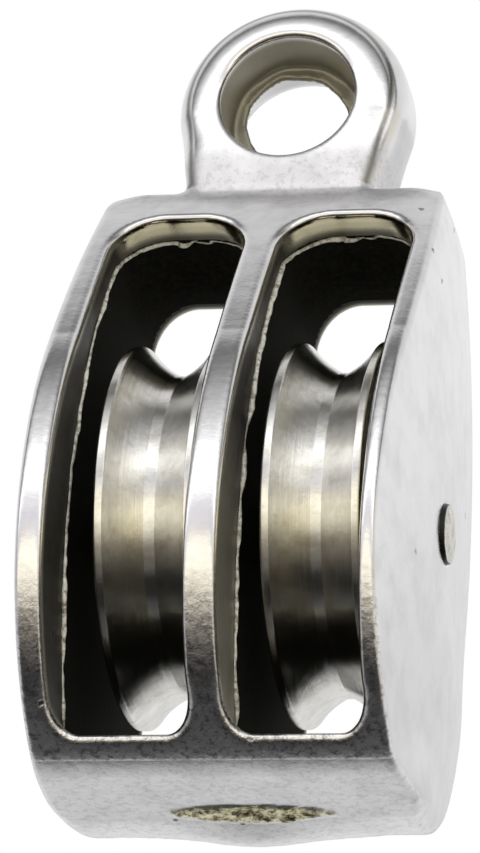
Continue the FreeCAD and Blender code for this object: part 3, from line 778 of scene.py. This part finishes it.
# ------------------------------------------------------------------- sheaves
def lathe(profile, turns, centre_x):
    """A closed profile of (x, radius) points turned about the X axis."""
    profile = np.asarray(profile, float)
    n = len(profile)
    angle = np.arange(turns) * 2 * math.pi / turns
    verts = np.empty((turns, n, 3))
    verts[:, :, 0] = profile[:, 0] + centre_x
    verts[:, :, 1] = np.outer(np.cos(angle), profile[:, 1])
    verts[:, :, 2] = np.outer(np.sin(angle), profile[:, 1])
    i, j = np.meshgrid(np.arange(turns), np.arange(n), indexing="ij")
    i2, j2 = (i + 1) % turns, (j + 1) % n
    faces = np.stack([i * n + j, i * n + j2, i2 * n + j2, i2 * n + j], -1)
    return verts.reshape(-1, 3), faces.reshape(-1, 4)


def round_corners(points, steps=5):
    """Replaces each (x, r, radius) corner with an arc of that radius."""
    out = []
    n = len(points)
    for k in range(n):
        p = np.array(points[k][:2], float)
        radius = points[k][2]
        a = np.array(points[k - 1][:2], float) - p
        b = np.array(points[(k + 1) % n][:2], float) - p
        la, lb = np.linalg.norm(a), np.linalg.norm(b)
        a, b = a / la, b / lb
        cosine = float(np.clip(a @ b, -1, 1))
        if radius <= 0 or abs(cosine) > 0.9995:
            out.append(p)
            continue
        half = math.acos(cosine) / 2
        cut = min(radius / math.tan(half), 0.45 * la, 0.45 * lb)
        radius = cut * math.tan(half)
        mid = (a + b) / np.linalg.norm(a + b)
        centre = p + mid * radius / math.sin(half)
        start, end = p + a * cut - centre, p + b * cut - centre
        t0 = math.atan2(start[1], start[0])
        turn = math.atan2(end[1], end[0]) - t0
        turn = (turn + math.pi) % (2 * math.pi) - math.pi
        for s in range(steps + 1):
            t = t0 + turn * s / steps
            out.append(centre + radius * np.array([math.cos(t), math.sin(t)]))
    return out


def densify(points, size):
    """The closed line of points again, with steps of size at most."""
    out = []
    for a, b in zip(points, points[1:] + points[:1]):
        a, b = np.array(a), np.array(b)
        count = max(1, int(math.ceil(np.linalg.norm(b - a) / size)))
        out.extend(a + (b - a) * k / count for k in range(count))
    return out


def sheave_profile():
    """Half section of a sheave: grooved rim, recessed sides and plain bore."""
    half, rim = 3.25, 12.7
    land, floor_half, root = 0.55, 0.35, 10.7
    flank_r = 6.5
    recess, recess_r, hub_r, bore_r = 0.5, 9.3, 4.5, 2.05
    flare = 0.3     # the recess is this much wider at its mouth
    a = np.array([half - land, rim])
    b = np.array([floor_half, root])
    mid, run = (a + b) / 2, b - a
    size = np.linalg.norm(run)
    out = np.array([-run[1], run[0]]) / size
    if out[1] < 0:
        out = -out
    centre = mid + out * math.sqrt(flank_r ** 2 - (size / 2) ** 2)
    t0 = math.atan2(*(a - centre)[::-1])
    t1 = math.atan2(*(b - centre)[::-1])
    flank = [centre + flank_r * np.array([math.cos(t), math.sin(t)])
             for t in np.linspace(t0, t1, 15)]
    # every corner carries its own rounding as a third number
    right = [(p[0], p[1], 0.0) for p in flank[1:-1]]
    top = ([(half, rim, 0.16), (a[0], a[1], 0.14)] + right + [(b[0], b[1], 0.2)])
    mirrored = [(-p[0], p[1], p[2]) for p in reversed(top)]
    side = [(half, bore_r, 0.1), (half, hub_r - flare, 0.12), (half - recess, hub_r, 0.2),
            (half - recess, recess_r, 0.2), (half, recess_r + flare, 0.12)]
    back = [(-p[0], p[1], p[2]) for p in reversed(side)]
    return densify(round_corners(top + mirrored + back + side), 0.16)


def build_sheave(node, name, seed, metal):
    low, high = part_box(node)
    centre_x = (low.x + high.x) / 2 / MM
    verts, faces = lathe(sheave_profile(), SHEAVE_TURNS, centre_x)
    rel = verts.copy()
    rel[:, 0] -= centre_x
    radius = np.hypot(verts[:, 1], verts[:, 2])
    radial = np.stack([np.zeros(len(verts)), verts[:, 1] / radius, verts[:, 2] / radius], 1)
    # turning marks and slight dents on the rim and groove
    ring = np.stack([rel[:, 0] * 7.0, radius * 7.0, np.full(len(rel), 3.7 + seed)], 1)
    dent = 0.006 * noise3(ring, 1.0, seed) + 0.010 * fractal(rel, 0.8, seed + 3)
    dent = dent * smooth(5.0, 9.8, radius)
    verts = verts + radial * dent[:, None]
    obj = new_mesh(name, verts, faces)
    obj.data.materials.append(metal)
    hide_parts(node)
    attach(obj, node + "_wheel")


# ----------------------------------------------------------------------- pin
def build_pin():
    """A plain pin with broken edges and slightly domed, uneven ends."""
    half = PIN_HI.x / MM
    axis, edge = 0.0001, 0.14
    outline = [(-half, axis, 0.0), (half, axis, 0.0), (half, PIN_R, edge), (-half, PIN_R, edge)]
    verts, faces = lathe(densify(round_corners(outline, 7), 0.25), PIN_TURNS, 0.0)
    end = smooth(half - 0.5, half - 0.05, np.abs(verts[:, 0]))
    out = np.hypot(verts[:, 1], verts[:, 2])
    dish = 0.05 * fractal(verts, 1.1, 41) - 0.10 * smooth(0.9, 1.9, out)
    verts[:, 0] += np.sign(verts[:, 0]) * end * dish
    obj = new_mesh("axle_pin_steel", verts, faces)
    near_end = smooth(half - 2.0, half - 1.0, np.abs(verts[:, 0]))
    # the painted shadow ring round the pin near each end, where it enters the casting
    paint(obj, "pin_entry_shadow", smooth(1.86, 1.96, out) * near_end)
    obj.data.materials.append(pin_material())
    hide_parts("axle_pin")
    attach(obj, "block")


sheave_metal = sheave_material()
build_casting()
build_flash()
build_sheave("left_sheave", "left_grooved_sheave", 5, sheave_metal)
build_sheave("right_sheave", "right_grooved_sheave", 17, sheave_metal)
build_pin()


# -------------------------------------------------------------------- studio
# Soft light in bands, by the angle round the X axis in degrees: 0 behind,
# 90 overhead, 180 in front, 270 below. Each band is a brightness or a colour.
BANDS = [(0, 0.88), (22, 0.74), (26.8, 0.80), (30.4, 0.93), (40, 0.92), (60, 0.84),
         (84, 0.80), (91, 0.71), (95, 0.52), (99, 0.30), (103, 0.15), (108, 0.21),
         (121, 0.53), (134, 0.95), (142, 1.7), (151, 1.6), (159, 1.0),
         (167, (0.86, 0.84, 0.90)), (174, (0.95, 0.92, 0.88)), (181, (1.5, 1.42, 1.2)),
         (190, (1.4, 1.34, 1.12)), (201, (0.98, 0.91, 0.75)), (209, (0.34, 0.31, 0.26)),
         (226, (0.13, 0.12, 0.11)), (235, 0.025), (246, 0.02), (256, 0.09), (280, 0.085),
         (300, 0.16), (312, 0.44), (328, 0.66), (360, 0.90)]
RIGHT_LIGHT, LEFT_LIGHT = (0.80, 0.76, 0.66), (0.55, 0.55, 0.58)
SIDE_START, SIDE_FULL = 0.86, 0.98
BACKDROP = (1.0, 1.0, 1.0)
FLOOR_HALF, FLOOR_DROP = 6.0, 0.30      # metres

CAMERA_ANGLES = (14.39, -27.86, 5.74)   # azimuth, elevation and roll, degrees
CAMERA_TARGET = (-1.86, 0.0, 8.32)      # millimetres from the axle pin
CAMERA_DISTANCE = 0.412                 # metres
SENSOR = 36.0
LENS_PER_SENSOR = 7.2659437             # focal length over the sensor's long side


def studio():
    world = bpy.data.worlds.new("studio_light")
    bpy.context.scene.world = world
    world.use_nodes = True
    tree = world.node_tree
    g = Graph(tree)
    background = next(n for n in tree.nodes if n.type == "BACKGROUND")
    parts = tree.nodes.new("ShaderNodeSeparateXYZ")
    g.put(parts.inputs[0], tree.nodes["Texture Coordinate"].outputs["Generated"])
    turn = g.math("ARCTAN2", parts.outputs["Z"], parts.outputs["Y"])
    turn = g.math("DIVIDE", turn, 2 * math.pi)
    turn = g.math("FRACT", g.math("ADD", turn, 1.0))
    light = g.ramp(turn, [(angle / 360, colour) for angle, colour in BANDS])
    right = g.span(parts.outputs["X"], SIDE_START, SIDE_FULL)
    light = g.mix(right, light, RIGHT_LIGHT)
    left = g.span(parts.outputs["X"], -SIDE_START, -SIDE_FULL)
    light = g.mix(left, light, LEFT_LIGHT)
    seen = tree.nodes.new("ShaderNodeLightPath").outputs["Is Camera Ray"]
    g.put(background.inputs["Color"], g.mix(seen, light, BACKDROP))

    half, z = FLOOR_HALF, -FLOOR_DROP
    verts = np.array([[-half, -half, z], [half, -half, z], [half, half, z], [-half, half, z]])
    floor = new_mesh("floor", verts / MM + np.array([0, 0, EYE_Z]), [[0, 1, 2, 3]])
    mat, _, shader = material("floor_paint", 0.0, 0.9, (0.86, 0.86, 0.86))
    shader.inputs["Specular IOR Level"].default_value = 0.1
    floor.data.materials.append(mat)
    floor.visible_glossy = False


def camera():
    scene = bpy.context.scene
    data = bpy.data.cameras.new("camera")
    cam = bpy.data.objects.new("camera", data)
    scene.collection.objects.link(cam)
    scene.camera = cam
    azimuth, elevation, roll = (math.radians(v) for v in CAMERA_ANGLES)
    back = Vector((math.sin(azimuth) * math.cos(elevation),
                   -math.cos(azimuth) * math.cos(elevation), math.sin(elevation)))
    right = Vector((0, 0, 1)).cross(back).normalized()
    up = back.cross(right)
    right, up = (right * math.cos(roll) + up * math.sin(roll),
                 up * math.cos(roll) - right * math.sin(roll))
    target = Vector((CAMERA_TARGET[0], CAMERA_TARGET[1], CAMERA_TARGET[2] - EYE_Z)) * MM
    place = target + back * CAMERA_DISTANCE
    cam.matrix_world = Matrix((
        (right.x, up.x, back.x, place.x),
        (right.y, up.y, back.y, place.y),
        (right.z, up.z, back.z, place.z),
        (0, 0, 0, 1)))
    data.sensor_fit = "AUTO"
    data.sensor_width = SENSOR
    data.lens = SENSOR * LENS_PER_SENSOR
    data.clip_start, data.clip_end = 0.01, 50.0


studio()
camera()
bpy.context.scene.view_settings.view_transform = "Standard"
